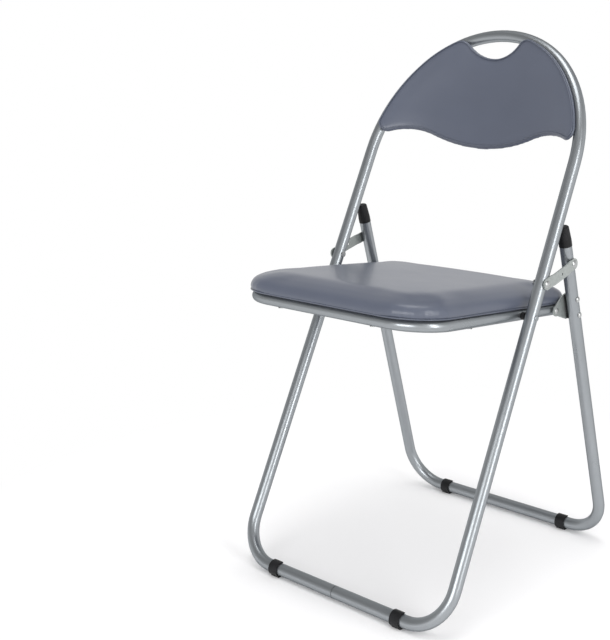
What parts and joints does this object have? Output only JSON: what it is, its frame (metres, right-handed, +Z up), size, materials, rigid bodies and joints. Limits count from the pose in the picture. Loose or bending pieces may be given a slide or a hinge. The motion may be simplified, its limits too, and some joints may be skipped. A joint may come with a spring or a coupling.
{
  "type": "folding chair",
  "caption": "Folding chair of bent tube with a dished padded back, a hand scoop under its top bar, a padded seat on a tube loop and side links that fold it flat.",
  "frame": {"origin": "on the floor, in the middle of the chair's width and of its depth from seat front to rear feet", "axes": "+Z up, +Y to the back, +X to the sitter's left, which is the right-hand side seen from the front"},
  "size_m": [0.4096, 0.445, 0.793],
  "materials": {
    "frame_paint": "silver-grey paint, satin gloss",
    "vinyl": "smooth blue-grey vinyl",
    "board": "thin panel with a grey cover",
    "link_steel": "zinc plated, satin",
    "rivet_steel": "bright plated",
    "bare_steel": "bare",
    "black_plastic": "matt"
  },
  "bodies": {
    "front_frame": {"front_frame_tube": "frame_paint", "front_tube_joiner": "bare_steel", "backrest_board": "board", "backrest_cushion": "vinyl", "backrest_screws": "rivet_steel", "front_foot_left": "black_plastic", "seat_pivot_rivet_left": "frame_paint", "seat_pivot_spacer_left": "black_plastic", "link_front_rivet_left": "rivet_steel", "front_foot_right": "black_plastic", "seat_pivot_rivet_right": "frame_paint", "seat_pivot_spacer_right": "black_plastic", "link_front_rivet_right": "rivet_steel"},
    "seat": {"seat_frame_tube": "frame_paint", "seat_tube_joiner": "bare_steel", "seat_board": "board", "seat_cushion": "vinyl", "seat_screws": "rivet_steel", "bracket_pivot_rivet_left": "rivet_steel", "bracket_pivot_rivet_right": "rivet_steel"},
    "rear_frame": {"rear_frame_tube": "frame_paint", "bracket_rivets": "rivet_steel", "leg_cap_left": "black_plastic", "rear_foot_left": "black_plastic", "seat_bracket_left": "link_steel", "bracket_spacer_left": "black_plastic", "leg_cap_right": "black_plastic", "rear_foot_right": "black_plastic", "seat_bracket_right": "link_steel", "bracket_spacer_right": "black_plastic"},
    "left_link": {"link_left": "link_steel", "link_rear_rivet_left": "rivet_steel"},
    "right_link": {"link_right": "link_steel", "link_rear_rivet_right": "rivet_steel"}
  },
  "joints": [
    {"name": "seat_fold", "type": "hinge", "parent": "front_frame", "child": "seat", "pos_m": [0, -0.00159, 0.40002], "axis": [-1, 0, 0], "range_deg": [0, 111.64]},
    {"name": "rear_frame_swing", "type": "hinge", "parent": "seat", "child": "rear_frame", "pos_m": [0, 0.08105, 0.39242], "axis": [-1, 0, 0], "range_deg": [-69.75, 0]},
    {"name": "left_link_swing", "type": "hinge", "parent": "front_frame", "child": "left_link", "pos_m": [-0.2013, 0.02058, 0.44372], "axis": [-1, 0, 0], "range_deg": [0, 109.85]},
    {"name": "right_link_swing", "type": "hinge", "parent": "front_frame", "child": "right_link", "pos_m": [0.2013, 0.02058, 0.44372], "axis": [-1, 0, 0], "range_deg": [0, 109.85]}
  ],
  "couplings": [
    {"joint": "rear_frame_swing", "follows": "seat_fold", "ratio": -0.62468},
    {"joint": "left_link_swing", "follows": "seat_fold", "ratio": 0.98382},
    {"joint": "right_link_swing", "follows": "seat_fold", "ratio": 0.98382}
  ]
}
